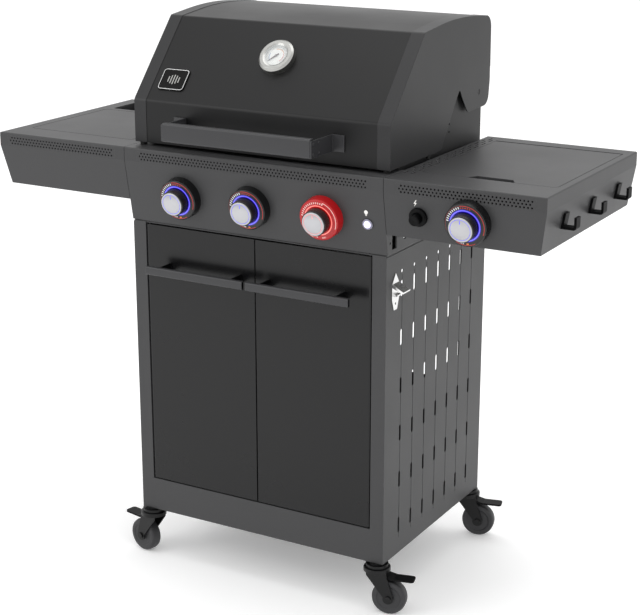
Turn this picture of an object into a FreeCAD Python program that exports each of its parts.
"""Gas barbecue grill: a steel cabinet on casters, three burners under a hinged lid and a side burner.

Every piece is drawn from three datum planes, in millimetres: x from the grill's middle plane, y from
the front face of the control panel and z from the floor. save() then shifts each piece, so that the
origin of the whole is the bottom centre of its bounding box, with +X to the right as the cook sees it
and +Y towards the back.
"""
import FreeCAD
import Part
import math
import os

V = FreeCAD.Vector

# Datum shift: the utensil hooks and the casters stand out unevenly, so the middle plane is off centre.
SHIFT_X = -11.5
SHIFT_Y = -233.5

# Overall
SHELF_SPAN = 1300.0
SHELF_DEPTH = 491.0
WORKTOP = 948.0
SHEET = 1.5

# Cabinet
CABINET_WIDTH = 615.0
CABINET_FRONT = 22.0
CABINET_DEPTH = 476.0
CABINET_BOTTOM = 115.0
CABINET_TOP = 905.0
POST_WIDTH = 31.5
BOTTOM_RAIL = 75.0
FRAME_DEPTH = 20.0
BASE_LIP = 24.0
REAR_PANEL_TOP = 370.0
REAR_FLANGE = 57.0
REAR_RAIL = (700.0, 730.0)

# Ventilation slots of the cabinet sides
SLOT_COLUMNS = 7
SLOT_ROWS = 6
SLOT_PITCH = (56.0, 104.6)
SLOT_SIZE = (8.0, 35.0)
SLOT_TOP = 720.5
SLOT_HOLE = (4.0, 19.5)
GROOVE = (3.0, 0.5)
GROOVE_ENDS = (152.0, 732.0)

# Doors
DOOR_GAP = 3.0
DOOR_TOP = 780.0
DOOR_THICKNESS = 18.0
DOOR_PIVOT_INSET = 6.0
DOOR_PIN = 3.0
DOOR_PIN_LENGTH = 17.0
DOOR_RAIL_HEIGHT = 18.0
DOOR_HANDLE_REACH = 47.0
DOOR_HANDLE_X = (4.0, 246.0)
DOOR_HANDLE_Z = (681.5, 700.5)
HANDLE_LIP = 8.0
HANDLE_WEB_INSET = 30.0
HANDLE_SHEET = 2.0

# Front of the worktop: an upright band, and below it a face that slopes inwards
BAND = 29.0
SLOPE = 10.0
PANEL_DROP = 161.0
SHELF_DROP = 116.0
CHEEK = 2.0
SEAM = 1.0
DECK_DEPTH = 88.0
EDGE_ROUND = 3.0
SCREW_HOLE = 2.5
CHEEK_DEPTH = 300.0
CHEEK_REVEAL = (1.0, 5.0)
CHEEK_SLOT = ((41.5, 61.0), (8.0, 38.0))
CHEEK_HOLES = [(33.0, 23.0, SCREW_HOLE), (68.0, 31.0, SCREW_HOLE), (97.0, 24.0, 6.0)]

# Perforated vent strips in the upright band
VENT_HEIGHT = 21.0
VENT_DROP = 6.0
VENT_HOLE = 1.9
VENT_PITCH = 8.0
VENT_ROW_PITCH = 6.2
VENT_PANEL_X = (-279.0, 279.0)
VENT_SHELF_X = (336.0, 628.0)

# Controls
KNOB_X = (-170.0, 0.0, 170.0)
KNOB_Z = 853.0
SIDE_KNOB_X = 492.0
SIDE_KNOB_Z = 883.0
BEZEL = (45.0, 43.0, 22.0)
BEZEL_WALL = 2.5
LIGHT_RING = (28.5, 32.5, 2.5)
KNOB = (27.0, 22.0)
KNOB_LIFT = 0.8
STEM = 4.0
LED_X = 270.0
LED_Z = 849.0
LED_RING = (8.2, 11.8, 3.0)
LED_BUTTON = 7.6
IGNITER_X = 384.0
IGNITER_Z = 879.0
IGNITER_BEZEL = (19.0, 9.0)
IGNITER_BUTTON = (11.0, 24.0)
BUTTON_CLEARANCE = 0.3
LED_TRAVEL = 1.5
IGNITER_TRAVEL = 6.0

# Gas train
PIPE = (9.0, 7.5)
PIPE_BEHIND_PANEL = 42.0
VALVE_BODY = (14.0, 12.0)
SPUD = 5.0
INLET = (8.0, 22.0)
INLET_X = -240.0

# Firebox
FIREBOX_X = 297.0
FIREBOX_Y = (88.0, 478.0)
FIREBOX_WALL = 2.0
FIREBOX_RIM = 965.0
FIREBOX_BACK = 1058.0
FIREBOX_FLOOR = (90.0, 803.0, 845.0)
WING_Y = (250.0, 335.0)
WING_TOP = 18.0
WING_HOLES = (319.0, (984.0, 1001.0, 1014.0))
BURNER_REST_X = 220.0
GRATE_Z = (930.0, 942.0)
GRATE_BARS = (14, 8.0)
TAMER_Z = (893.0, 915.0)
TAMER_HALF = 52.0
BURNER = (14.0, 12.5)
BURNER_Z = 850.0
BURNER_Y = (64.0, 455.0)
BURNER_PORTS = 16
DRAIN = (80.0, 200.0, 380.0)

# Grease tray
TRAY_X = 120.0
TRAY_Y = (110.0, 474.0)
TRAY_Z = (748.0, 777.5)
TRAY_LIP = 11.0
TRAY_CLEARANCE = 0.5
TRAY_TRAVEL = 300.0
TRAY_GRIP = (40.0, 18.0, 10.0)

# Lid
LID_HALF_WIDTH = 306.0
LID_CAP_WIDTH = 30.0
LID_CAP_STEP = 0.8
LID_FRONT = 37.3
LID_BOTTOM = 954.6
LID_KNEE = (37.3, 1045.0)
LID_BROW = (180.6, 1206.8)
LID_CROWN = (330.0, 1222.5)
LID_BACK_CORNER = (499.0, 1208.5)
LID_BACK = 501.0
LID_SKIN_END = 1100.0
LID_KNEE_RADIUS = 12.0
LID_BROW_RADIUS = 8.0
LID_CROWN_RADIUS = 900.0
LID_BACK_RADIUS = 26.0
LID_EAR = [(LID_BACK, 1070.0, 60.0), (494.0, 1018.0, 24.0), (390.0, 1016.0, 14.0), (366.0, 1045.0, 10.0)]
LID_NOTCH = [(348.0, 1070.0, 4.0), (322.0, 1038.0, 8.0), (263.5, 957.0, 8.0), (240.0, LID_BOTTOM, 0.0)]
HINGE = (444.5, 1051.5)
HINGE_PIN = 5.95
HINGE_BORE = 6.0
LID_HANDLE_X = 174.6
LID_HANDLE_FRONT = -51.0
LID_HANDLE_LIP = 14.0
LID_HANDLE_Z = (980.0, 1019.0)
LID_BRACKET_Z = (981.5, 1015.5)
LID_FOOT = 26.0
BRACKET_SHEET = 3.0
DIAL_UP_SLOPE = 128.0
DIAL_CASE = (39.0, 16.0)
DIAL_FACE = (23.5, 11.0)
NEEDLE_POST = 1.0
BADGE = (66.0, 53.0, 2.5)
BADGE_BORDER = (3.0, 8.0)
BADGE_X = -228.0
BADGE_UP_SLOPE = 55.0

# Left shelf
PRESSED_PANEL = ((-620.0, -341.0), (70.0, 350.0), 10.0)
PRESSED_LINE = (2.5, 0.7)
WELL_X = (-612.0, -341.0)
WELL_Y = (365.0, 455.0)
WELL_BOTTOM = 870.0
WELL_CORNER = 8.0
RIM = 8.0

# Right shelf and side burner
COVER_X = (348.0, 632.0)
COVER_Y = (90.0, 452.0)
COVER_GAP = 1.5
COVER_HEIGHT = 10.0
COVER_CORNER = 12.0
COVER_PIVOT = 5.0
COVER_PIN = 2.5
COVER_NOTCH = (447.0, 546.0, 20.0, 12.0)
BOWL_BOTTOM = 892.0
SIDE_BURNER_Y = 270.0
SIDE_HEAD = (42.0, 14.0)
SIDE_PORTS = 24
BURNER_NECK = 12.0
FEED_TUBE = (11.0, 9.5)
SIDE_GRATE_HALF = 118.0
SIDE_GRATE_BAR = 8.0
SIDE_GRATE_HOLE = 28.0
SIDE_GRATE_Z = (922.0, 930.0)
LOUVRE_X = (321.0, 329.5, 338.0)
LOUVRE_Y = (62.0, 469.0)
LOUVRE_SIZE = (3.5, 20.0)
LOUVRE_PITCH = 37.0
HOOK_Y = (104.0, 249.0, 394.0)
HOOK = (20.0, 5.0, 27.0, 25.0)
HOOK_DROP = (49.0, 80.0)
HOOK_BEND = 6.0

# Bottle opener
OPENER = (60.0, 703.0, 15.0)
OPENER_HOOD = 27.0

# Casters
WHEEL_RADIUS = 37.5
WHEEL_WIDTH = 26.0
CASTER_X = 288.0
CASTER_INSET = 12.0
CASTER_TRAIL = 28.0
CASTER_FLANGE = (16.0, 4.0)
CASTER_HEAD = (29.0, 9.0)
CASTER_STEM = 5.0
KINGPIN = 6.0
AXLE = 4.0
FORK_LEG = 3.0
CASTER_HEADINGS = {"fl": 168.0, "fr": 14.0, "rl": 195.0, "rr": 14.0}
BRAKE_PIVOT = (14.0, 87.0)
BRAKE_PIN = 2.5
RUNNING_FIT = 0.05

# Values worked out from the sizes above
CABINET_HALF = CABINET_WIDTH / 2
CABINET_BACK = CABINET_FRONT + CABINET_DEPTH
INNER_HALF = CABINET_HALF - SHEET
OPENING_HALF = CABINET_HALF - POST_WIDTH
PANEL_HALF = CABINET_HALF + CHEEK
SHELF_INNER = PANEL_HALF + SEAM
SHELF_OUTER = SHELF_SPAN / 2
KINK = WORKTOP - BAND
LEAN = math.tan(math.radians(SLOPE))
PANEL_BOTTOM = WORKTOP - PANEL_DROP
SHELF_BOTTOM = WORKTOP - SHELF_DROP
FACE_TILT = 90.0 + SLOPE
DOOR_PIVOT_Y = CABINET_FRONT + DOOR_PIVOT_INSET
DOOR_OUTER = OPENING_HALF - DOOR_GAP / 2
DOOR_PIVOT_X = DOOR_OUTER - DOOR_PIVOT_INSET
DOOR_BOTTOM = CABINET_BOTTOM + BOTTOM_RAIL + DOOR_GAP
DOOR_RAIL = (DOOR_TOP + DOOR_GAP, DOOR_TOP + DOOR_GAP + DOOR_RAIL_HEIGHT)
LID_SLOPE = math.degrees(math.atan2(LID_BROW[1] - LID_KNEE[1], LID_BROW[0] - LID_KNEE[0]))
COVER_PIVOT_Y = COVER_Y[1] - COVER_PIVOT
COVER_PIVOT_Z = WORKTOP - COVER_PIVOT
BOWL_CORNER = COVER_CORNER + COVER_GAP
BOWL_X = (COVER_X[0] - COVER_GAP, COVER_X[1] + COVER_GAP)
BOWL_Y = (COVER_Y[0] - COVER_GAP, COVER_Y[1] + COVER_GAP)
AXLE_Z = WHEEL_RADIUS


# ---------------------------------------------------------------- shape helpers

def block(x, y, z):
    """A box from three (low, high) pairs."""
    return Part.makeBox(x[1] - x[0], y[1] - y[0], z[1] - z[0], V(x[0], y[0], z[0]))


def rod(radius, start, end):
    """A round bar between two points."""
    start = V(*start)
    axis = V(*end).sub(start)
    return Part.makeCylinder(radius, axis.Length, start, axis)


def prism_x(outline, x):
    """Extrudes an outline of (y, z) points from x[0] to x[1]."""
    points = [V(x[0], y, z) for y, z in outline]
    return Part.Face(Part.makePolygon(points + points[:1])).extrude(V(x[1] - x[0], 0, 0))


def prism_y(outline, y):
    """Extrudes an outline of (x, z) points from y[0] to y[1]."""
    points = [V(x, y[0], z) for x, z in outline]
    return Part.Face(Part.makePolygon(points + points[:1])).extrude(V(0, y[1] - y[0], 0))


def prism_z(outline, z):
    """Extrudes an outline of (x, y) points from z[0] to z[1]."""
    points = [V(x, y, z[0]) for x, y in outline]
    return Part.Face(Part.makePolygon(points + points[:1])).extrude(V(0, 0, z[1] - z[0]))


def turned(profile):
    """Turns an outline of (radius, height) points about the Z axis."""
    points = [V(radius, 0, height) for radius, height in profile]
    return Part.Face(Part.makePolygon(points + points[:1])).revolve(V(0, 0, 0), V(0, 0, 1), 360)


def rounded(shape, radius, wanted):
    """Rounds the edges whose two end points both pass the test."""
    edges = [edge for edge in shape.Edges if all(wanted(vertex.Point) for vertex in edge.Vertexes)]
    return shape.makeFillet(radius, edges)


def upright(edge):
    return abs(edge.tangentAt(edge.FirstParameter).z) > 0.99


def rounded_block(x, y, z, radius):
    """A box with its four upright edges rounded."""
    shape = block(x, y, z)
    return shape.makeFillet(radius, [edge for edge in shape.Edges if upright(edge)])


def front_rounded_block(x, y, z, radius):
    """A box with only its two front upright edges rounded."""
    shape = block(x, y, z)
    front = [edge for edge in shape.Edges if upright(edge) and abs(edge.Vertexes[0].Y - y[0]) < 0.01]
    return shape.makeFillet(radius, front)


def joined(pieces):
    return pieces[0].multiFuse(pieces[1:]).removeSplitter()


def mirrored(shape):
    return shape.mirror(V(0, 0, 0), V(1, 0, 0))


def both_sides(shape):
    """A piece and its mirror image, as one group of two solids."""
    return Part.makeCompound([shape, mirrored(shape)])


def placed(shape, point, tilt):
    """Turns a piece drawn with +Z as the way out of a face about X, and moves it to a point."""
    copy = shape.copy()
    turn = FreeCAD.Rotation(V(1, 0, 0), tilt)
    copy.Placement = FreeCAD.Placement(V(*point), turn).multiply(copy.Placement)
    return copy


def rounded_path(corners, closed):
    """A wire through (y, z, radius) corners in the YZ plane, with an arc at each rounded corner."""
    points = [V(0, y, z) for y, z, radius in corners]
    radii = [radius for y, z, radius in corners]
    count = len(points)
    ends = []
    for index in range(count):
        inner = closed or 0 < index < count - 1
        if not (inner and radii[index]):
            ends.append((points[index], points[index], None))
            continue
        corner = points[index]
        back = points[index - 1].sub(corner).normalize()
        ahead = points[(index + 1) % count].sub(corner).normalize()
        half_angle = back.getAngle(ahead) / 2
        run = radii[index] / math.tan(half_angle)
        start = corner.add(V(back).multiply(run))
        end = corner.add(V(ahead).multiply(run))
        bisector = back.add(ahead).normalize()
        reach = radii[index] / math.sin(half_angle) - radii[index]
        middle = corner.add(V(bisector).multiply(reach))
        ends.append((start, end, Part.Arc(start, middle, end).toShape()))
    edges = []
    for index in range(count):
        start, end, arc = ends[index]
        if arc:
            edges.append(arc)
        if index + 1 < count or closed:
            following = ends[(index + 1) % count][0]
            if end.distanceToPoint(following) > 1e-6:
                edges.append(Part.LineSegment(end, following).toShape())
    return Part.Wire(edges)


def strip_x(corners, thickness, x):
    """A bent strip: an open path in the YZ plane, thickened to one side and extruded along X."""
    face = rounded_path(corners, False).makeOffset2D(thickness, 0, True, True)
    solid = face.extrude(V(x[1] - x[0], 0, 0))
    solid.translate(V(x[0], 0, 0))
    return solid


def face_point(x, z, out=0.0):
    """A point on the sloping front face at a height, or a distance in front of it."""
    y = (KINK - z) * LEAN
    reach = math.radians(SLOPE)
    return (x, y - out * math.cos(reach), z - out * math.sin(reach))


def on_face(shape, x, z):
    """Stands a piece on the sloping front face of the control panel or a shelf."""
    return placed(shape, face_point(x, z), FACE_TILT)


def lid_point(x, up_slope):
    """A point on the lid's front slope, at a distance up from its lower bend."""
    lean = math.radians(LID_SLOPE)
    return (x, LID_KNEE[0] + up_slope * math.cos(lean), LID_KNEE[1] + up_slope * math.sin(lean))


def on_lid(shape, x, up_slope):
    return placed(shape, lid_point(x, up_slope), LID_SLOPE)


# ---------------------------------------------------------------- cabinet

def base_panel():
    """A tray whose turned-up lip stiffens the cabinet's floor."""
    x = (-INNER_HALF, INNER_HALF)
    y = (CABINET_FRONT + SHEET, CABINET_BACK - 2 * SHEET)
    outer = block(x, y, (CABINET_BOTTOM, CABINET_BOTTOM + BASE_LIP))
    inner_x = (x[0] + SHEET, x[1] - SHEET)
    inner_y = (y[0] + SHEET, y[1] - SHEET)
    tools = [block(inner_x, inner_y, (CABINET_BOTTOM + SHEET, CABINET_BOTTOM + BASE_LIP + 1))]
    for corner in CASTER_HEADINGS:
        x, y = caster_place(corner)
        tools.append(rod(CASTER_STEM, (x, y, CABINET_BOTTOM - 1), (x, y, CABINET_BOTTOM + 5)))
    return outer.cut(tools)


def room_behind_panel():
    """Clears the cabinet's front edges behind the foot of the control panel."""
    foot = (KINK - PANEL_BOTTOM) * LEAN + SHEET
    x = (-CABINET_HALF - 1, CABINET_HALF + 1)
    return block(x, (CABINET_FRONT - 1, foot + 0.4), (PANEL_BOTTOM - 2, CABINET_TOP + 1))


def door_pin(radius, z):
    """An upright rod on the right door's axis."""
    return rod(radius, (DOOR_PIVOT_X, DOOR_PIVOT_Y, z[0]), (DOOR_PIVOT_X, DOOR_PIVOT_Y, z[1]))


def door_pin_bores(z):
    """Bores for the door pins, on both sides."""
    return both_sides(door_pin(DOOR_PIN + RUNNING_FIT, z))


def front_frame():
    """Two posts, a bottom rail and a hidden top rail round the door opening."""
    back = CABINET_FRONT + FRAME_DEPTH
    sill = CABINET_BOTTOM + BOTTOM_RAIL
    face_y = (CABINET_FRONT, CABINET_FRONT + SHEET)
    post_face = block((OPENING_HALF, INNER_HALF), face_y, (CABINET_BOTTOM, DOOR_RAIL[1]))
    post_return = block((OPENING_HALF, OPENING_HALF + SHEET), (CABINET_FRONT, back), (sill, DOOR_RAIL[1]))
    rail_face = block((-INNER_HALF, INNER_HALF), face_y, (CABINET_BOTTOM, sill))
    rail_return = block((-INNER_HALF, INNER_HALF), (CABINET_FRONT, back), (sill - SHEET, sill))
    top_rail = block((-INNER_HALF, INNER_HALF), (CABINET_FRONT + SHEET, back), DOOR_RAIL)
    posts = [post_face, mirrored(post_face), post_return, mirrored(post_return)]
    frame = joined(posts + [rail_face, rail_return, top_rail])
    frame = frame.cut([room_behind_panel(), door_pin_bores((sill - 10, sill + 1))])
    return frame.cut(door_pin_bores((DOOR_RAIL[0] - 1, DOOR_RAIL[1] + 1)))


def slot_heights():
    return [SLOT_TOP - SLOT_SIZE[1] / 2 - row * SLOT_PITCH[1] for row in range(SLOT_ROWS)]


def slot_columns():
    middle = (CABINET_FRONT + CABINET_BACK) / 2
    return [middle + (column - (SLOT_COLUMNS - 1) / 2) * SLOT_PITCH[0] for column in range(SLOT_COLUMNS)]


def slot_wire(y, z):
    """The outline of one round-ended slot in the plane x = 0."""
    radius = SLOT_SIZE[0] / 2
    reach = SLOT_SIZE[1] / 2 - radius
    low = z - reach
    high = z + reach
    left = Part.LineSegment(V(0, y - radius, low), V(0, y - radius, high)).toShape()
    top = Part.Arc(V(0, y - radius, high), V(0, y, high + radius), V(0, y + radius, high)).toShape()
    right = Part.LineSegment(V(0, y + radius, high), V(0, y + radius, low)).toShape()
    bottom = Part.Arc(V(0, y + radius, low), V(0, y, low - radius), V(0, y - radius, low)).toShape()
    return Part.Wire([left, top, right, bottom])


def round_wire(y, z):
    """The outline of the small round hole over a column of slots, in the plane x = 0."""
    return Part.Wire([Part.makeCircle(SLOT_HOLE[0], V(0, y, z), V(1, 0, 0))])


def perforated_face(outline, holes):
    """A flat face with holes, from wires that lie in one plane."""
    return Part.makeFace([outline] + holes, "Part::FaceMakerBullseye")


def pipe_bore(radius, x):
    """Room for the gas pipe where it crosses a wall."""
    y, z = pipe_centre(KNOB_Z)
    return rod(radius, (x[0], y, z), (x[1], y, z))


def right_side_panel():
    """The side sheet with its slots, one pressed groove per column and the return flange at the back."""
    corners = [(CABINET_FRONT, CABINET_BOTTOM), (CABINET_BACK, CABINET_BOTTOM)]
    corners += [(CABINET_BACK, CABINET_TOP), (CABINET_FRONT, CABINET_TOP)]
    points = [V(0, y, z) for y, z in corners]
    slots = [slot_wire(y, z) for y in slot_columns() for z in slot_heights()]
    eyes = [round_wire(y, SLOT_TOP + SLOT_HOLE[1]) for y in slot_columns()]
    face = perforated_face(Part.makePolygon(points + points[:1]), slots + eyes)
    sheet = face.extrude(V(SHEET, 0, 0))
    sheet.translate(V(INNER_HALF, 0, 0))
    grooves = []
    for y in slot_columns():
        width = (y - GROOVE[0] / 2, y + GROOVE[0] / 2)
        grooves.append(block((CABINET_HALF - GROOVE[1], CABINET_HALF + 1), width, GROOVE_ENDS))
    reveal_x = (CABINET_HALF - CHEEK_REVEAL[0], CABINET_HALF + 1)
    reveal = block(reveal_x, (CABINET_FRONT - 1, CHEEK_DEPTH), (PANEL_BOTTOM - CHEEK_REVEAL[1], PANEL_BOTTOM))
    sheet = sheet.cut(grooves + [reveal, cheek_holes(), room_behind_panel()])
    flange_x = (INNER_HALF - REAR_FLANGE, INNER_HALF + SHEET / 2)
    flange = block(flange_x, (CABINET_BACK - SHEET, CABINET_BACK), (CABINET_BOTTOM, CABINET_TOP))
    return joined([sheet, flange]).cut(pipe_bore(PIPE[0] + 3, (INNER_HALF - 1, CABINET_HALF + 1)))


def rear_panel():
    y = (CABINET_BACK - 2 * SHEET, CABINET_BACK - SHEET)
    return block((-INNER_HALF, INNER_HALF), y, (CABINET_BOTTOM, REAR_PANEL_TOP))


def rear_top_rail():
    """A folded rail between the rear flanges, below the grease tray."""
    y = (CABINET_BACK - SHEET - FRAME_DEPTH, CABINET_BACK - SHEET)
    outer = block((-INNER_HALF, INNER_HALF), y, REAR_RAIL)
    hollow_z = (REAR_RAIL[0] + SHEET, REAR_RAIL[1] - SHEET)
    return outer.cut(block((-INNER_HALF, INNER_HALF), (y[0] - 1, y[1] - SHEET), hollow_z))


def door(side):
    """A shallow steel tray on two pins; side is 1 for the right door and -1 for the left."""
    x = (DOOR_GAP / 2, DOOR_OUTER)
    y = (CABINET_FRONT, CABINET_FRONT + DOOR_THICKNESS)
    z = (DOOR_BOTTOM, DOOR_TOP)
    outer = block(x, y, z)
    hinge_edge = lambda point: abs(point.x - x[1]) < 0.01 and abs(point.y - y[0]) < 0.01
    outer = rounded(outer, DOOR_PIVOT_INSET - 1, hinge_edge)
    inner_x = (x[0] + SHEET, x[1] - 2 * DOOR_PIVOT_INSET)
    hollow = block(inner_x, (y[0] + SHEET, y[1] + 1), (z[0] + SHEET, z[1] - SHEET))
    top_pin = door_pin(DOOR_PIN, (z[1] - 1, z[1] + DOOR_PIN_LENGTH))
    low_pin = door_pin(DOOR_PIN, (z[0] - DOOR_GAP - 2 * DOOR_PIN, z[0] + 1))
    shape = joined([outer.cut(hollow), top_pin, low_pin])
    return shape if side > 0 else mirrored(shape)


def channel_bar(x, y, z, lip, wall):
    """A front plate with a lip turned back along its top and bottom edges."""
    face = block(x, (y, y + wall), z)
    top = block(x, (y, y + lip), (z[1] - wall, z[1]))
    bottom = block(x, (y, y + lip), (z[0], z[0] + wall))
    return joined([face, top, bottom])


def door_handle(side):
    """A folded bar held off the door by two webs, each a little in from its end."""
    front = CABINET_FRONT - DOOR_HANDLE_REACH
    bar = channel_bar(DOOR_HANDLE_X, front, DOOR_HANDLE_Z, HANDLE_LIP, HANDLE_SHEET)
    webs = []
    web_x = grown(DOOR_HANDLE_X, -HANDLE_WEB_INSET)
    for x in (web_x[0], web_x[1] - BRACKET_SHEET):
        webs.append(block((x, x + BRACKET_SHEET), (front, CABINET_FRONT), DOOR_HANDLE_Z))
    shape = joined([bar] + webs)
    return shape if side > 0 else mirrored(shape)


# ---------------------------------------------------------------- control panel and shelves

def front_profile(depth, bottom, inset):
    """The (y, z) outline of a worktop piece: upright band, sloping face, upright back."""
    foot = (KINK - bottom) * LEAN + inset
    top = WORKTOP - inset
    return [(inset, top), (inset, KINK), (foot, bottom), (depth - inset, bottom), (depth - inset, top)]


def control_panel():
    """The folded front of the worktop, with its deck, end cheeks and the openings for the controls."""
    x = (-PANEL_HALF, PANEL_HALF)
    outer = prism_x(front_profile(DECK_DEPTH, PANEL_BOTTOM, 0), x)
    front_edge = lambda point: abs(point.z - WORKTOP) < 0.01 and abs(point.y) < 0.01
    outer = rounded(outer, EDGE_ROUND, front_edge)
    inner = front_profile(DECK_DEPTH + 2 * SHEET + 1, PANEL_BOTTOM - 1, SHEET)
    shape = outer.cut(prism_x(inner, (-CABINET_HALF, CABINET_HALF)))
    cheek = block((CABINET_HALF, PANEL_HALF), (DECK_DEPTH - 1, CHEEK_DEPTH), (PANEL_BOTTOM, CABINET_TOP))
    shape = joined([shape, cheek, mirrored(cheek)])
    vent_z = (WORKTOP - VENT_DROP - VENT_HEIGHT, WORKTOP - VENT_DROP)
    tools = [block(VENT_PANEL_X, (-1, SHEET + 0.2), vent_z)]
    for knob_x in KNOB_X:
        tools.append(face_hole(STEM + 1, knob_x, KNOB_Z))
    tools.append(face_hole(LED_RING[0], LED_X, LED_Z))
    tools += [cheek_holes(), mirrored(cheek_holes())]
    tools.append(pipe_bore(PIPE[0] + 3, (CABINET_HALF - 1, PANEL_HALF + 1)))
    return shape.cut(tools)


def face_hole(radius, x, z):
    """A cutter for a round hole square to the sloping front face."""
    return on_face(rod(radius, (0, 0, -5), (0, 0, 5)), x, z)


def cheek_holes():
    """Cutters for the slot and the three round holes near the foot of the right cheek."""
    x = (INNER_HALF - 1, PANEL_HALF + 1)
    slot_y, slot_z = CHEEK_SLOT
    tools = [block(x, slot_y, (PANEL_BOTTOM + slot_z[0], PANEL_BOTTOM + slot_z[1]))]
    for y, rise, radius in CHEEK_HOLES:
        tools.append(rod(radius, (x[0], y, PANEL_BOTTOM + rise), (x[1], y, PANEL_BOTTOM + rise)))
    return Part.makeCompound(tools)


def vent_strip(x):
    """A strip with three staggered rows of round holes."""
    z = (WORKTOP - VENT_DROP - VENT_HEIGHT, WORKTOP - VENT_DROP)
    corners = [(x[0], z[0]), (x[1], z[0]), (x[1], z[1]), (x[0], z[1])]
    points = [V(px, 0, pz) for px, pz in corners]
    middle = (z[0] + z[1]) / 2
    count = int((x[1] - x[0] - VENT_PITCH) / VENT_PITCH)
    first = (x[0] + x[1]) / 2 - (count - 1) * VENT_PITCH / 2
    holes = []
    for row in (-1, 0, 1):
        stagger = VENT_PITCH / 4 if row else -VENT_PITCH / 4
        for index in range(count):
            centre = V(first + index * VENT_PITCH + stagger, 0, middle + row * VENT_ROW_PITCH)
            holes.append(Part.Wire(Part.makeCircle(VENT_HOLE, centre, V(0, 1, 0))))
    face = perforated_face(Part.makePolygon(points + points[:1]), holes)
    return face.extrude(V(0, SHEET, 0))


def vent_strips():
    left = (-VENT_SHELF_X[1], -VENT_SHELF_X[0])
    return Part.makeCompound([vent_strip(VENT_PANEL_X), vent_strip(VENT_SHELF_X), vent_strip(left)])


def shelf_wedge(inset, drop):
    """The right shelf's envelope: its front and outer faces both slope inwards below the band."""
    bottom = SHELF_BOTTOM - drop
    x_foot = SHELF_OUTER - (KINK - bottom) * LEAN - inset
    inner = SHELF_INNER + inset
    top = WORKTOP - inset
    outer = SHELF_OUTER - inset
    side = [(inner, top), (outer, top), (outer, KINK), (x_foot, bottom), (inner, bottom)]
    front = prism_x(front_profile(SHELF_DEPTH, bottom, inset), (SHELF_INNER - 50, SHELF_OUTER + 50))
    return front.common(prism_y(side, (-50, SHELF_DEPTH + 50)))


def shelf_shell():
    """A folded steel shelf, open below, with rounded upper edges."""
    outer = shelf_wedge(0, 0)
    outside = lambda point: point.y < 0.01 or point.x > SHELF_OUTER - 0.01
    outer = rounded(outer, EDGE_ROUND, lambda point: point.z > WORKTOP - 0.01 and outside(point))
    vent_z = (WORKTOP - VENT_DROP - VENT_HEIGHT, WORKTOP - VENT_DROP)
    shell = outer.cut(shelf_wedge(SHEET, 1))
    shell = shell.cut(block(VENT_SHELF_X, (-1, SHEET + 0.2), vent_z))
    return shell.cut(pipe_bore(PIPE[0] + 3, (SHELF_INNER - 1, SHELF_INNER + SHEET + 1)))


def grown(span, extra):
    """A (low, high) pair made wider by the same amount at both ends, or narrower if it is below 0."""
    return (span[0] - extra, span[1] + extra)


def left_shelf():
    """The left shelf: a pressed panel outline in its top, and the mouth of the condiment well."""
    shell = mirrored(shelf_shell())
    x, y, corner = PRESSED_PANEL
    width, depth = PRESSED_LINE
    top = (WORKTOP - depth, WORKTOP + 1)
    field = rounded_block(grown(x, -width), grown(y, -width), top, corner - width)
    ring = rounded_block(x, y, top, corner).cut(field)
    mouth = rounded_block(WELL_X, WELL_Y, (WORKTOP - 10, WORKTOP + 1), WELL_CORNER)
    return shell.cut([ring, mouth])


def condiment_well():
    """A folded bin that hangs by its rim under the mouth in the left shelf."""
    rim_z = (WORKTOP - 2 * SHEET, WORKTOP - SHEET)
    rim = rounded_block(grown(WELL_X, RIM), grown(WELL_Y, RIM), rim_z, WELL_CORNER + RIM)
    bin_z = (WELL_BOTTOM, rim_z[1])
    bin_body = rounded_block(grown(WELL_X, SHEET), grown(WELL_Y, SHEET), bin_z, WELL_CORNER + SHEET)
    hollow = rounded_block(WELL_X, WELL_Y, (WELL_BOTTOM + SHEET, WORKTOP), WELL_CORNER)
    return joined([rim, bin_body]).cut(hollow)


def louvre_slots():
    """Three columns of short slots beside the lid, staggered from column to column."""
    slots = []
    count = int((LOUVRE_Y[1] - LOUVRE_Y[0]) / LOUVRE_PITCH)
    for column, x in enumerate(LOUVRE_X):
        for index in range(count):
            y = LOUVRE_Y[0] + index * LOUVRE_PITCH + column % 2 * LOUVRE_PITCH / 2
            slot_x = (x - LOUVRE_SIZE[0] / 2, x + LOUVRE_SIZE[0] / 2)
            slots.append(block(slot_x, (y, y + LOUVRE_SIZE[1]), (WORKTOP - 5, WORKTOP + 1)))
    return slots


def right_shelf():
    """The right shelf: the opening for the side burner, its louvres and its control holes."""
    tools = louvre_slots()
    tools.append(front_rounded_block(BOWL_X, BOWL_Y, (WORKTOP - 10, WORKTOP + 1), BOWL_CORNER))
    tools.append(face_hole(STEM + 1, SIDE_KNOB_X, SIDE_KNOB_Z))
    tools.append(face_hole(IGNITER_BUTTON[0] + 1, IGNITER_X, IGNITER_Z))
    return shelf_shell().cut(tools)


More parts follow.
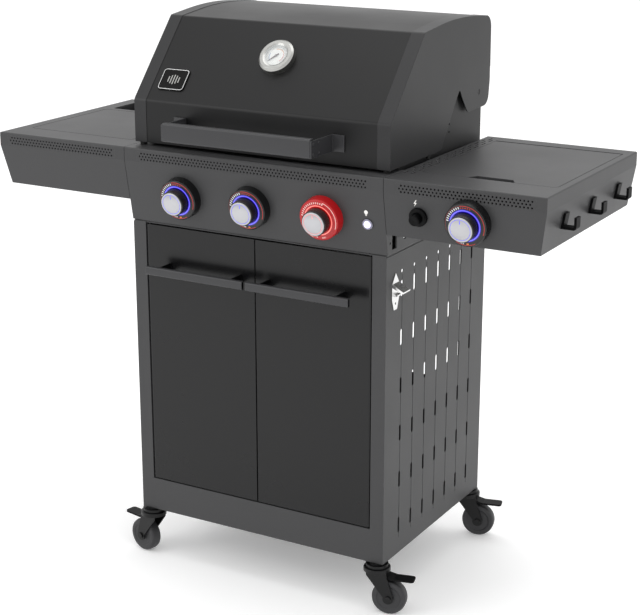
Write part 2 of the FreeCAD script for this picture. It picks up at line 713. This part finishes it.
def side_burner_bowl():
    """A folded bowl under the cover, with bores for the cover's pins and the burner's neck."""
    rim_z = (WORKTOP - 2 * SHEET, WORKTOP - SHEET)
    rim = rounded_block(grown(BOWL_X, RIM), grown(BOWL_Y, RIM), rim_z, BOWL_CORNER + RIM)
    body_z = (BOWL_BOTTOM, rim_z[1])
    body = front_rounded_block(grown(BOWL_X, SHEET), grown(BOWL_Y, SHEET), body_z, BOWL_CORNER + SHEET)
    hollow = front_rounded_block(BOWL_X, BOWL_Y, (BOWL_BOTTOM + SHEET, WORKTOP), BOWL_CORNER)
    neck_z = (BOWL_BOTTOM - 1, BOWL_BOTTOM + 5)
    x = SIDE_KNOB_X
    neck = rod(BURNER_NECK + 1, (x, SIDE_BURNER_Y, neck_z[0]), (x, SIDE_BURNER_Y, neck_z[1]))
    pins = cover_pin(COVER_PIN + RUNNING_FIT, grown(BOWL_X, 5))
    return joined([rim, body]).cut([hollow, neck, pins])


def cover_pin(radius, x):
    """A rod on the side burner cover's axis."""
    return rod(radius, (x[0], COVER_PIVOT_Y, COVER_PIVOT_Z), (x[1], COVER_PIVOT_Y, COVER_PIVOT_Z))


def side_burner_cover():
    """A flush cover on two pins at its back edge, with a finger notch in its front edge."""
    z = (WORKTOP - COVER_HEIGHT, WORKTOP)
    outer = front_rounded_block(COVER_X, COVER_Y, z, COVER_CORNER)
    back_top = lambda point: point.z > z[1] - 0.01 and point.y > COVER_Y[1] - 0.01
    outer = rounded(outer, COVER_PIVOT - 0.5, back_top)
    inner_y = (COVER_Y[0] + SHEET, COVER_Y[1] - 2 * COVER_PIVOT)
    inner_z = (z[0] - 1, z[1] - SHEET)
    hollow = front_rounded_block(grown(COVER_X, -SHEET), inner_y, inner_z, COVER_CORNER - SHEET)
    low, high, depth, slant = COVER_NOTCH
    front = COVER_Y[0]
    inmost = front + depth
    notch = [(low, front - 1), (low + slant, inmost), (high - slant, inmost), (high, front - 1)]
    backing = [(low - 4, front), (low + slant - 2, inmost + SHEET)]
    backing += [(high - slant + 2, inmost + SHEET), (high + 4, front)]
    lip = prism_z(backing, z)
    shape = joined([outer.cut(hollow), lip]).cut(prism_z(notch, (z[0] - 1, z[1] + 1)))
    overhang = COVER_GAP + 2
    left_pin = cover_pin(COVER_PIN, (COVER_X[0] - overhang, COVER_X[0] + 3))
    right_pin = cover_pin(COVER_PIN, (COVER_X[1] - 3, COVER_X[1] + overhang))
    return joined([shape, left_pin, right_pin])


def side_burner_head():
    """The side burner: a ported head on a neck, fed by a tube from its valve."""
    x = SIDE_KNOB_X
    radius, height = SIDE_HEAD
    floor = BOWL_BOTTOM + SHEET
    tube_z = face_point(x, SIDE_KNOB_Z)[2] - 6
    head = rod(radius, (x, SIDE_BURNER_Y, floor + 4), (x, SIDE_BURNER_Y, floor + 4 + height))
    head = rounded(head, 2.0, lambda point: point.z > floor + 4 + height - 0.01)
    crown = rod(radius * 0.62, (x, SIDE_BURNER_Y, floor + 4), (x, SIDE_BURNER_Y, floor + 9 + height))
    neck = rod(BURNER_NECK, (x, SIDE_BURNER_Y, tube_z), (x, SIDE_BURNER_Y, floor + 5))
    start = BURNER_Y[0] - 4
    feed = rod(FEED_TUBE[0], (x, start, tube_z), (x, SIDE_BURNER_Y, tube_z))
    mouth = rod(FEED_TUBE[1], (x, start - 1, tube_z), (x, SIDE_BURNER_Y - 20, tube_z))
    ports = []
    for index in range(SIDE_PORTS):
        port = block((radius - 5, radius + 1), (-1.0, 1.0), (floor + 8, floor + 8 + height / 3))
        port.rotate(V(0, 0, 0), V(0, 0, 1), index * 360.0 / SIDE_PORTS)
        port.translate(V(x, SIDE_BURNER_Y, 0))
        ports.append(port)
    return joined([head, crown, neck, feed]).cut([mouth] + ports)


def side_burner_grate():
    """A cast pan support: a square frame on four legs with fingers towards the middle."""
    x = SIDE_KNOB_X
    half = SIDE_GRATE_HALF
    bar = SIDE_GRATE_BAR
    top = SIDE_GRATE_Z
    middle_x = (x, x)
    middle_y = (SIDE_BURNER_Y, SIDE_BURNER_Y)
    outer = rounded_block(grown(middle_x, half), grown(middle_y, half), top, bar + 6)
    inner = rounded_block(grown(middle_x, half - bar), grown(middle_y, half - bar), top, bar)
    pieces = [outer.cut(inner)]
    for index in range(8):
        reach = half - 2 if index % 2 == 0 else half * 1.3
        finger = block((SIDE_GRATE_HOLE, reach), (-bar / 2, bar / 2), top)
        finger.rotate(V(0, 0, 0), V(0, 0, 1), 45.0 * index)
        finger.translate(V(x, SIDE_BURNER_Y, 0))
        pieces.append(finger)
    for sx in (-1, 1):
        for sy in (-1, 1):
            leg_x = x + sx * (half - bar)
            leg_y = SIDE_BURNER_Y + sy * (half - bar)
            pieces.append(rod(bar / 2, (leg_x, leg_y, BOWL_BOTTOM + SHEET), (leg_x, leg_y, top[0] + 1)))
    return joined(pieces)


def utensil_hooks():
    """Three flat hooks on the sloping outer face of the right shelf."""
    width, wall, reach, rise = HOOK
    face_x = lambda z: SHELF_OUTER - (KINK - z) * LEAN
    high = WORKTOP - HOOK_DROP[0]
    low = WORKTOP - HOOK_DROP[1]
    tip = face_x(low) + reach + wall
    outline = [(face_x(high), high), (face_x(high) + wall, high)]
    outline += [(face_x(low + wall) + wall, low + wall), (tip - wall, low + wall)]
    outline += [(tip - wall, low + rise), (tip, low + rise), (tip, low), (face_x(low), low)]
    hooks = []
    for y in HOOK_Y:
        hook = prism_y(outline, (y - width / 2, y + width / 2))
        hooks.append(rounded(hook, HOOK_BEND, lambda point: point.x > tip - 0.01 and point.z < low + 1))
    return Part.makeCompound(hooks)


def bottle_opener():
    """A wall plate with tapering ends and a folded hood that catches a crown cap."""
    y, z, half = OPENER
    narrow = half * 0.45
    x = (CABINET_HALF, CABINET_HALF + 2)
    outline = [(y, z + 40), (y + half, z + 18), (y + half, z - 14), (y + narrow, z - 37)]
    outline += [(y - narrow, z - 37), (y - half, z - 14), (y - half, z + 18)]
    plate = prism_x(outline, x)
    wall = x[0]
    reach = wall + OPENER_HOOD
    hood_outline = [(wall, z + 20), (reach, z + 6), (reach, z + 3), (reach - 3, z + 2), (wall, z + 13)]
    hood = prism_y(hood_outline, (y - half, y + half))
    tooth_outline = [(wall, z - 2), (wall + 10, z - 4), (wall + 10, z - 7), (wall, z - 9)]
    tooth = prism_y(tooth_outline, (y - half / 2, y + half / 2))
    hole = rod(SCREW_HOLE, (wall - 1, y, z - 24), (x[1] + 1, y, z - 24))
    return joined([plate, hood, tooth]).cut(hole)


# ---------------------------------------------------------------- controls and gas train

def knob_bezel():
    """A hollow collar with a groove in its face for the light ring."""
    base, face, height = BEZEL
    inner, outer, depth = LIGHT_RING
    wall = BEZEL_WALL
    bore = STEM + 2
    floor = height - depth
    profile = [(base, 0), (face + 0.6, height - 2), (face - 1.4, height), (outer, height), (outer, floor)]
    profile += [(inner, floor), (inner, height), (bore, height), (bore, floor - wall)]
    profile += [(face - wall, floor - wall), (base - wall, 0)]
    return turned(profile)


def knob_bezels():
    """The three black collars: two on the panel and one on the right shelf."""
    collars = [on_face(knob_bezel(), x, KNOB_Z) for x in KNOB_X[:2]]
    return Part.makeCompound(collars + [on_face(knob_bezel(), SIDE_KNOB_X, SIDE_KNOB_Z)])


def knob_bezel_right():
    return on_face(knob_bezel(), KNOB_X[2], KNOB_Z)


def knob_light_rings():
    """Clear rings that light up round the knobs, set in the collars' grooves."""
    inner, outer, depth = LIGHT_RING
    height = BEZEL[2]
    profile = [(inner, height - depth), (outer, height - depth), (outer, height), (inner, height)]
    ring = turned(profile)
    rings = [on_face(ring, x, KNOB_Z) for x in KNOB_X]
    return Part.makeCompound(rings + [on_face(ring, SIDE_KNOB_X, SIDE_KNOB_Z)])


def knob(x, z):
    """A turned cap with a blind bore that runs on the valve stem."""
    radius, height = KNOB
    low = BEZEL[2] + KNOB_LIFT
    high = BEZEL[2] + height
    profile = [(STEM + RUNNING_FIT, low), (radius, low), (radius, low + 5), (radius - 1, high - 1.5)]
    profile += [(radius - 2.5, high), (0, high), (0, high - 5), (STEM + RUNNING_FIT, high - 5)]
    pointer = block((-1.0, 1.0), (8.0, radius + 1), (high - 0.6, high + 1))
    return on_face(turned(profile).cut(pointer), x, z)


def pipe_centre(z):
    """The (y, z) place of the gas pipe behind a valve at a height on the face."""
    point = face_point(0, z, -PIPE_BEHIND_PANEL)
    return point[1], point[2]


def gas_valve():
    """A valve body on its neck, with the stem to the front and the outlet spud to the back."""
    half_x, half_y = VALVE_BODY
    body_z = (PIPE[0] + 1 - PIPE_BEHIND_PANEL, -4.0)
    body = block((-half_x, half_x), (-half_y - 9, half_y), body_z)
    stem = rod(STEM, (0, 0, body_z[1] - 1), (0, 0, BEZEL[2] + KNOB[1] - 6))
    neck = rod(SPUD, (0, 0, -PIPE_BEHIND_PANEL + 3), (0, 0, body_z[0] + 1))
    spud = rod(SPUD, (0, -16.0, -PIPE_BEHIND_PANEL - 14), (0, -16.0, body_z[0] + 1))
    return joined([body, stem, neck, spud])


def valve_places():
    return [(x, KNOB_Z) for x in KNOB_X] + [(SIDE_KNOB_X, SIDE_KNOB_Z)]


def gas_valves():
    return Part.makeCompound([on_face(gas_valve(), x, z) for x, z in valve_places()])


def hexagon(x, y, radius):
    """The corners of a nut."""
    angles = [index * math.pi / 3 for index in range(6)]
    return [(x + radius * math.cos(angle), y + radius * math.sin(angle)) for angle in angles]


def gas_manifold():
    """The pipe that feeds all four valves, with the inlet stub pointing down into the cabinet."""
    outer, inner = PIPE
    y, z = pipe_centre(KNOB_Z)
    side_y, side_z = pipe_centre(SIDE_KNOB_Z)
    route = [(INLET_X, y, z), (SIDE_KNOB_X - 90, y, z), (SIDE_KNOB_X - 50, side_y, side_z)]
    route.append((SIDE_KNOB_X + 18, side_y, side_z))
    pieces = [rod(outer, start, end) for start, end in zip(route[:-1], route[1:])]
    pieces += [Part.makeSphere(outer, V(*point)) for point in route[:3]]
    stub_end = z - outer - INLET[1]
    pieces.append(rod(INLET[0], (INLET_X, y, z), (INLET_X, y, stub_end)))
    pieces.append(prism_z(hexagon(INLET_X, y, 13.0), (z - outer - 7, z - outer + 1)))
    necks = []
    for place_x, place_z in valve_places():
        necks.append(on_face(rod(SPUD, (0, 0, -PIPE_BEHIND_PANEL), (0, 0, 0)), place_x, place_z))
    bore = rod(INLET[0] - 3, (INLET_X, y, stub_end - 1), (INLET_X, y, z))
    hollow = rod(inner, (INLET_X, y, z), (SIDE_KNOB_X - 100, y, z))
    return joined(pieces).cut([bore, hollow] + necks)


def light_button_ring():
    inner, outer, height = LED_RING
    bore = LED_BUTTON + BUTTON_CLEARANCE
    profile = [(inner, -4), (inner, 0), (outer, 0), (outer, height - 1), (outer - 1, height)]
    profile += [(inner + 0.5, height), (bore, height - 1), (bore, -4)]
    return on_face(turned(profile), LED_X, LED_Z)


def light_button():
    """The lit push button in the middle of the ring."""
    height = LED_RING[2] + LED_TRAVEL
    radius = LED_BUTTON
    profile = [(0, -8), (radius, -8), (radius, height - 1), (radius - 1, height), (0, height)]
    return on_face(turned(profile), LED_X, LED_Z)


def igniter_bezel():
    radius, height = IGNITER_BEZEL
    bore = IGNITER_BUTTON[0] + BUTTON_CLEARANCE
    profile = [(bore, 0), (radius, 0), (radius, height * 0.5), (radius - 3, height), (bore, height)]
    return on_face(turned(profile), IGNITER_X, IGNITER_Z)


def igniter_button():
    """The spring-loaded cap that is pushed in to make the spark."""
    radius, height = IGNITER_BUTTON
    profile = [(0, -6), (radius, -6), (radius, height - 2), (radius - 2, height), (0, height - 1)]
    return on_face(turned(profile), IGNITER_X, IGNITER_Z)


# ---------------------------------------------------------------- firebox

def firebox_section(inset, top):
    """The firebox's (x, z) outline: upright sides over a floor that falls to the middle."""
    flat, low, high = FIREBOX_FLOOR
    half = FIREBOX_X - inset
    left = [(-half, top), (-half, high + inset), (-flat, low + inset)]
    return left + [(-x, z) for x, z in reversed(left)]


def firebox_wing():
    """The raised rear part of a side wall, which carries the lid's hinge pin."""
    back = FIREBOX_Y[1]
    foot = FIREBOX_RIM - 5
    top = HINGE[1] + WING_TOP
    corners = [(WING_Y[0], foot, 0), (WING_Y[1], top, 12), (back, top, 18), (back, foot, 0)]
    wing = Part.Face(rounded_path(corners, True)).extrude(V(FIREBOX_WALL, 0, 0))
    x = FIREBOX_X - FIREBOX_WALL
    wing.translate(V(x, 0, 0))
    pin = rod(HINGE_PIN, (x, HINGE[0], HINGE[1]), (LID_HALF_WIDTH - 0.5, HINGE[0], HINGE[1]))
    return joined([wing, pin])


def tray_runner():
    """An angle under the firebox floor that the grease tray's rim slides on."""
    lip_x = TRAY_X + TRAY_LIP
    foot_z = TRAY_Z[1] - SHEET - TRAY_CLEARANCE
    flat, low, high = FIREBOX_FLOOR
    under_floor = low + (lip_x - flat) / (FIREBOX_X - flat) * (high - low)
    web = block((lip_x + TRAY_CLEARANCE, lip_x + 2.5), TRAY_Y, (foot_z - 2, under_floor + 1))
    foot = block((TRAY_X + 3, lip_x + 2.5), TRAY_Y, (foot_z - 2, foot_z))
    return joined([web, foot])


def firebox():
    """The burner box with its ledges, hinge wings, tray runners and the drain to the grease tray."""
    front, back = FIREBOX_Y
    wall = FIREBOX_WALL
    outer = prism_y(firebox_section(0, FIREBOX_RIM), (front, back))
    inner = prism_y(firebox_section(wall, FIREBOX_RIM + 1), (front + wall, back - wall))
    shell = outer.cut(inner)
    back_wall = block((-FIREBOX_X, FIREBOX_X), (back - wall, back), (FIREBOX_RIM - 5, FIREBOX_BACK))
    wing = firebox_wing()
    ledge = block((FIREBOX_X - 1, CABINET_HALF), (front, back), (CABINET_TOP, CABINET_TOP + SHEET))
    runner = tray_runner()
    pieces = [shell, back_wall, wing, mirrored(wing), ledge, mirrored(ledge), runner, mirrored(runner)]
    inside = FIREBOX_X - wall
    for z in (GRATE_Z[0], TAMER_Z[0]):
        pieces.append(block((-inside, inside), (front + 1, front + 12), (z - 2, z)))
        pieces.append(block((-inside, inside), (back - 12, back - 1), (z - 2, z)))
    rest = BURNER_Z - BURNER[0]
    pieces.append(block((-BURNER_REST_X, BURNER_REST_X), (back - 30, back - 1), (rest - 2, rest)))
    box = joined(pieces)
    floor = FIREBOX_FLOOR[1]
    tools = [block((-DRAIN[0], DRAIN[0]), (DRAIN[1], DRAIN[2]), (floor - 5, floor + 5))]
    for x in KNOB_X:
        tools.append(rod(BURNER[0] + 1, (x, front - 1, BURNER_Z), (x, front + wall + 1, BURNER_Z)))
    hole_y, heights = WING_HOLES
    for z in heights:
        hole = rod(SCREW_HOLE, (FIREBOX_X - 5, hole_y, z), (FIREBOX_X + 5, hole_y, z))
        tools += [hole, mirrored(hole)]
    return box.cut(tools)


def burner(x):
    """A straight tube burner, open at the valve end and ported along both sides."""
    start, end = BURNER_Y
    body = rod(BURNER[0], (x, start, BURNER_Z), (x, end, BURNER_Z))
    hollow = rod(BURNER[1], (x, start - 1, BURNER_Z), (x, end - 2, BURNER_Z))
    ports = []
    for index in range(BURNER_PORTS):
        y = FIREBOX_Y[0] + 35 + index * 20.0
        ports.append(block((x - 20, x + 20), (y, y + 8), (BURNER_Z + 6, BURNER_Z + 8)))
    return body.cut([hollow] + ports)


def flame_tamer(x):
    """A folded roof over a burner that spreads its heat and sheds the fat."""
    low, high = TAMER_Z
    under = [(x - TAMER_HALF, low), (x, high), (x + TAMER_HALF, low)]
    outline = under + [(px, pz + SHEET) for px, pz in reversed(under)]
    return prism_y(outline, grown(FIREBOX_Y, -4))


def cooking_grate(x):
    """A cast grate: an outer frame, long bars and one cross bar."""
    y = grown(FIREBOX_Y, -4)
    low, high = GRATE_Z
    count, bar = GRATE_BARS
    pieces = [block(x, (y[0], y[0] + bar), (low, high)), block(x, (y[1] - bar, y[1]), (low, high))]
    pitch = (x[1] - x[0] - bar) / (count - 1)
    for index in range(count):
        left = x[0] + index * pitch
        pieces.append(block((left, left + bar), y, (low, high)))
    middle = (y[0] + y[1]) / 2
    pieces.append(block(x, (middle - bar / 2, middle + bar / 2), (low, high - 4)))
    return joined(pieces)


def cooking_grates():
    right = cooking_grate((1.5, FIREBOX_X - FIREBOX_WALL - 2))
    return both_sides(right)


def grease_tray():
    """A folded tray with a rim, drawn out of the back by its turned-down handle."""
    x = (-TRAY_X, TRAY_X)
    body = block(x, TRAY_Y, TRAY_Z)
    rim_z = (TRAY_Z[1] - SHEET, TRAY_Z[1])
    rim = block(grown(x, TRAY_LIP), TRAY_Y, rim_z)
    hollow = block(grown(x, -SHEET), grown(TRAY_Y, -SHEET), (TRAY_Z[0] + SHEET, TRAY_Z[1] + 1))
    half, reach, drop = TRAY_GRIP
    end = TRAY_Y[1] + reach
    grip = block((-half, half), (TRAY_Y[1] - 1, end), rim_z)
    grip_lip = block((-half, half), (end - SHEET, end), (TRAY_Z[1] - drop, TRAY_Z[1]))
    return joined([body, rim, grip, grip_lip]).cut(hollow)


# ---------------------------------------------------------------- lid

def lid_path():
    """The lid's side outline from the front edge over the top and down to the end of the back skin."""
    path = [(LID_FRONT, LID_BOTTOM, 0), LID_KNEE + (LID_KNEE_RADIUS,), LID_BROW + (LID_BROW_RADIUS,)]
    path += [LID_CROWN + (LID_CROWN_RADIUS,), LID_BACK_CORNER + (LID_BACK_RADIUS,), (LID_BACK, LID_SKIN_END, 0)]
    return path


def lid_shell():
    """The bent skin between the two end caps."""
    half = LID_HALF_WIDTH - LID_CAP_WIDTH
    skin = strip_x(lid_path(), SHEET, (-half, half))
    probe = on_lid(rod(5.0, (0, 0, -10), (0, 0, 10)), 0, DIAL_UP_SLOPE)
    return skin.cut(probe)


def lid_end_cap():
    """One end of the lid: a side plate with its hinge ear, and a rim that frames the skin."""
    outer = LID_HALF_WIDTH
    corners = lid_path()[:-1] + LID_EAR + LID_NOTCH
    plate = Part.Face(rounded_path(corners, True)).extrude(V(SHEET, 0, 0))
    plate.translate(V(outer - SHEET, 0, 0))
    rim_x = (outer - LID_CAP_WIDTH, outer)
    rim_inside = strip_x(lid_path(), SHEET, rim_x)
    rim_outside = strip_x(lid_path(), -LID_CAP_STEP, rim_x)
    bore = rod(HINGE_BORE, (outer - 5, HINGE[0], HINGE[1]), (outer + 1, HINGE[0], HINGE[1]))
    return joined([plate, rim_inside, rim_outside]).cut(bore)


def lid_end_caps():
    return both_sides(lid_end_cap())


def lid_handle():
    x = (-LID_HANDLE_X, LID_HANDLE_X)
    return channel_bar(x, LID_HANDLE_FRONT, LID_HANDLE_Z, LID_HANDLE_LIP, HANDLE_SHEET)


def lid_handle_bracket():
    """An angle: an arm at the bar's end and a foot on the lid's front."""
    inner = LID_HANDLE_X
    arm = block((inner, inner + BRACKET_SHEET), (LID_HANDLE_FRONT + 1, LID_FRONT), LID_BRACKET_Z)
    foot_x = (inner, inner + BRACKET_SHEET + LID_FOOT)
    foot = block(foot_x, (LID_FRONT - BRACKET_SHEET, LID_FRONT), LID_BRACKET_Z)
    heads = []
    for y in (LID_HANDLE_FRONT + 9, LID_HANDLE_FRONT + 31):
        for z in (LID_BRACKET_Z[0] + 7, LID_BRACKET_Z[1] - 7):
            start = inner + BRACKET_SHEET
            heads.append(rod(2.6, (start - 1, y, z), (start + 1.6, y, z)))
    return joined([arm, foot] + heads)


def lid_handle_brackets():
    return both_sides(lid_handle_bracket())


def thermometer_case():
    """The lid thermometer: a bezelled case with a probe through the lid and a post for the needle."""
    radius, height = DIAL_CASE
    dial, dial_z = DIAL_FACE
    profile = [(0, -60), (3.5, -60), (3.5, 0), (radius, 0), (radius, height - 4), (radius - 4, height)]
    profile += [(dial + 5, height), (dial, dial_z + 2), (dial, dial_z), (0, dial_z)]
    post = rod(NEEDLE_POST, (0, 0, dial_z - 1), (0, 0, dial_z + 3))
    return on_lid(joined([turned(profile), post]), 0, DIAL_UP_SLOPE)


def thermometer_needle():
    """The dial needle, at rest pointing to the cold end of the scale."""
    dial, dial_z = DIAL_FACE
    z = (dial_z + 0.8, dial_z + 2.0)
    hub = rod(3.0, (0, 0, z[0]), (0, 0, z[1]))
    pointer = prism_z([(0, -1.5), (dial - 4, -0.4), (dial - 4, 0.4), (0, 1.5), (-7, 1.2), (-7, -1.2)], z)
    needle = joined([hub, pointer])
    needle.rotate(V(0, 0, 0), V(0, 0, 1), 225)
    bore = rod(NEEDLE_POST + RUNNING_FIT, (0, 0, z[0] - 1), (0, 0, z[1] + 1))
    return on_lid(needle.cut(bore), 0, DIAL_UP_SLOPE)


def lid_badge():
    """A plain plate with a raised border."""
    width, height, thickness = BADGE
    border, corner = BADGE_BORDER
    x = (-width / 2, width / 2)
    y = (-height / 2, height / 2)
    plate = rounded_block(x, y, (0, thickness), corner)
    field_z = (thickness - 0.8, thickness + 1)
    field = rounded_block(grown(x, -border), grown(y, -border), field_z, corner - border)
    return on_lid(plate.cut(field), BADGE_X, BADGE_UP_SLOPE)


# ---------------------------------------------------------------- casters

def caster_place(corner):
    x = CASTER_X if corner[1] == "r" else -CASTER_X
    y = CABINET_FRONT + CASTER_INSET if corner[0] == "f" else CABINET_BACK - CASTER_INSET
    return x, y


def at_caster(shape, corner):
    """Turns a caster piece, drawn with its wheel trailing along +X, to its corner and heading."""
    copy = shape.copy()
    x, y = caster_place(corner)
    turn = FreeCAD.Rotation(V(0, 0, 1), CASTER_HEADINGS[corner])
    copy.Placement = FreeCAD.Placement(V(x, y, 0), turn).multiply(copy.Placement)
    return copy


def head_top():
    """The height of the top of the swivelling head."""
    return CABINET_BOTTOM - CASTER_FLANGE[1] - 6


def caster_stem(x, y):
    """A threaded stem through the cabinet's floor, its nut, and the bearing cup and kingpin below."""
    radius, thickness = CASTER_FLANGE
    floor = CABINET_BOTTOM + SHEET
    flange = rod(radius, (x, y, CABINET_BOTTOM - thickness), (x, y, CABINET_BOTTOM))
    cup = rod(24.0, (x, y, head_top() + 0.3), (x, y, CABINET_BOTTOM - thickness + 1))
    kingpin = rod(KINGPIN, (x, y, head_top() - CASTER_HEAD[1]), (x, y, head_top() + 1))
    stem = rod(CASTER_STEM, (x, y, CABINET_BOTTOM - 1), (x, y, floor + 8))
    nut = prism_z(hexagon(x, y, 8.0), (floor, floor + 5))
    return joined([flange, cup, kingpin, stem, nut])


def caster_stems():
    return Part.makeCompound([caster_stem(*caster_place(corner)) for corner in CASTER_HEADINGS])


def caster_fork():
    """The swivelling head with two legs, the axle and the brake lever's pin."""
    top = head_top()
    radius, depth = CASTER_HEAD
    under = top - depth
    head = rod(radius, (0, 0, under), (0, 0, top))
    head = rounded(head, 2.5, lambda point: point.z > top - 0.01)
    inner = WHEEL_WIDTH / 2 + 2
    leg_y = (inner, inner + FORK_LEG)
    outline = [(-21.0, under + 1), (-19.0, under - 8), (CASTER_TRAIL - 11, AXLE_Z + 3)]
    outline += [(CASTER_TRAIL + 11, AXLE_Z + 3), (25.0, under - 10), (23.0, under + 1)]
    leg = prism_y(outline, leg_y)
    boss = rod(11.5, (CASTER_TRAIL, leg_y[0], AXLE_Z), (CASTER_TRAIL, leg_y[1], AXLE_Z))
    nut = rod(7.0, (CASTER_TRAIL, leg_y[1] - 1, AXLE_Z), (CASTER_TRAIL, leg_y[1] + 3, AXLE_Z))
    side = joined([leg, boss, nut])
    other = side.mirror(V(0, 0, 0), V(0, 1, 0))
    axle = rod(AXLE, (CASTER_TRAIL, -leg_y[1], AXLE_Z), (CASTER_TRAIL, leg_y[1], AXLE_Z))
    pin_x, pin_z = BRAKE_PIVOT
    pin = rod(BRAKE_PIN, (pin_x, -leg_y[1], pin_z), (pin_x, leg_y[1], pin_z))
    bore = rod(KINGPIN + RUNNING_FIT, (0, 0, under - 1), (0, 0, top + 1))
    return joined([head, side, other, axle, pin]).cut(bore)


def caster_wheel():
    """A moulded wheel with a rounded tread, a recessed face and a hub that runs on the axle."""
    half = WHEEL_WIDTH / 2
    bore = AXLE + RUNNING_FIT
    profile = [(bore, -half - 1.5), (11, -half - 1.5), (11, -half + 2), (24, -half + 2), (27, -half)]
    profile += [(WHEEL_RADIUS - 4, -half), (WHEEL_RADIUS - 1.2, -half + 2.5), (WHEEL_RADIUS, -half + 7)]
    upper = [(radius, -height) for radius, height in reversed(profile)]
    wheel = turned(profile + upper)
    wheel.rotate(V(0, 0, 0), V(1, 0, 0), 90)
    wheel.translate(V(CASTER_TRAIL, 0, AXLE_Z))
    return wheel


def caster_brake():
    """The foot lever over the wheel, with a brake pad under it."""
    x, z = BRAKE_PIVOT
    inner = WHEEL_WIDTH / 2 + 1.5
    top = 2 * WHEEL_RADIUS + 5
    eye = rod(5.0, (x, -inner, z), (x, inner, z))
    arm = prism_y([(x, z - 5), (x, z + 4), (40.0, top + 4), (40.0, top)], (-inner, inner))
    tip = 82.0
    pedal = block((38.0, tip), (-14.0, 14.0), (top, top + 4))
    toe = [edge for edge in pedal.Edges if upright(edge) and edge.Vertexes[0].X > tip - 0.1]
    pedal = pedal.makeFillet(7.0, toe)
    pad = block((24.0, 33.0), (-9.0, 9.0), (2 * WHEEL_RADIUS + 2.2, top + 1))
    bore = rod(BRAKE_PIN + RUNNING_FIT, (x, -inner - 1, z), (x, inner + 1, z))
    slit = block((44.0, 140.0), (-40.0, 40.0), (top - 30, top))
    lever = joined([eye, arm, pedal, pad]).cut([bore, slit])
    return lever


# ---------------------------------------------------------------- fasteners

def dome_head(point, axis):
    """A pan screw head standing on a face."""
    radius = 4.5
    head = Part.makeCylinder(radius, 2.5, V(*point), V(*axis))
    outer = [edge for edge in head.Edges if edge.Length > 20]
    far = max(outer, key=lambda edge: edge.CenterOfMass.sub(V(*point)).Length)
    return head.makeFillet(1.6, [far])


def panel_screws():
    """Screw heads down the rear flanges of the cabinet."""
    middle = (CABINET_BOTTOM + REAR_PANEL_TOP) / 2
    heights = (CABINET_BOTTOM + 25, middle, REAR_PANEL_TOP - 25, sum(REAR_RAIL) / 2)
    heads = []
    for side in (-1, 1):
        for z in heights:
            heads.append(dome_head((side * (INNER_HALF - REAR_FLANGE / 2), CABINET_BACK, z), (0, 1, 0)))
    return Part.makeCompound(heads)


# ---------------------------------------------------------------- assembly

def pieces():
    """Every named piece of the grill and its shape."""
    side = right_side_panel()
    yield "base_panel", base_panel()
    yield "front_frame", front_frame()
    yield "right_side_panel", side
    yield "left_side_panel", mirrored(side)
    yield "rear_panel", rear_panel()
    yield "rear_top_rail", rear_top_rail()
    yield "left_door", door(-1)
    yield "right_door", door(1)
    yield "left_door_handle", door_handle(-1)
    yield "right_door_handle", door_handle(1)
    yield "control_panel", control_panel()
    yield "vent_strips", vent_strips()
    yield "knob_bezels", knob_bezels()
    yield "knob_bezel_right", knob_bezel_right()
    yield "knob_light_rings", knob_light_rings()
    for name, x in zip(("left", "middle", "right"), KNOB_X):
        yield "knob_" + name, knob(x, KNOB_Z)
    yield "knob_side", knob(SIDE_KNOB_X, SIDE_KNOB_Z)
    yield "light_button_ring", light_button_ring()
    yield "light_button", light_button()
    yield "igniter_bezel", igniter_bezel()
    yield "igniter_button", igniter_button()
    yield "gas_valves", gas_valves()
    yield "gas_manifold", gas_manifold()
    yield "firebox", firebox()
    yield "burners", Part.makeCompound([burner(x) for x in KNOB_X])
    yield "flame_tamers", Part.makeCompound([flame_tamer(x) for x in KNOB_X])
    yield "cooking_grates", cooking_grates()
    yield "grease_tray", grease_tray()
    yield "left_shelf", left_shelf()
    yield "condiment_well", condiment_well()
    yield "right_shelf", right_shelf()
    yield "side_burner_bowl", side_burner_bowl()
    yield "side_burner_head", side_burner_head()
    yield "side_burner_grate", side_burner_grate()
    yield "side_burner_cover", side_burner_cover()
    yield "utensil_hooks", utensil_hooks()
    yield "bottle_opener", bottle_opener()
    yield "lid_shell", lid_shell()
    yield "lid_end_caps", lid_end_caps()
    yield "lid_handle", lid_handle()
    yield "lid_handle_brackets", lid_handle_brackets()
    yield "thermometer_case", thermometer_case()
    yield "thermometer_needle", thermometer_needle()
    yield "lid_badge", lid_badge()
    yield "caster_stems", caster_stems()
    for corner in CASTER_HEADINGS:
        yield "caster_fork_" + corner, at_caster(caster_fork(), corner)
        yield "caster_wheel_" + corner, at_caster(caster_wheel(), corner)
        yield "caster_brake_" + corner, at_caster(caster_brake(), corner)
    yield "panel_screws", panel_screws()


def save(name, shape):
    """Shifts a piece from the datum planes to the grill's own origin and writes it."""
    shape = shape.copy()
    shape.translate(V(SHIFT_X, SHIFT_Y, 0))
    shape.exportStep("parts/" + name + ".step")


def main():
    os.makedirs("parts", exist_ok=True)
    for name, shape in pieces():
        save(name, shape)


if __name__ == "__main__":
    main()
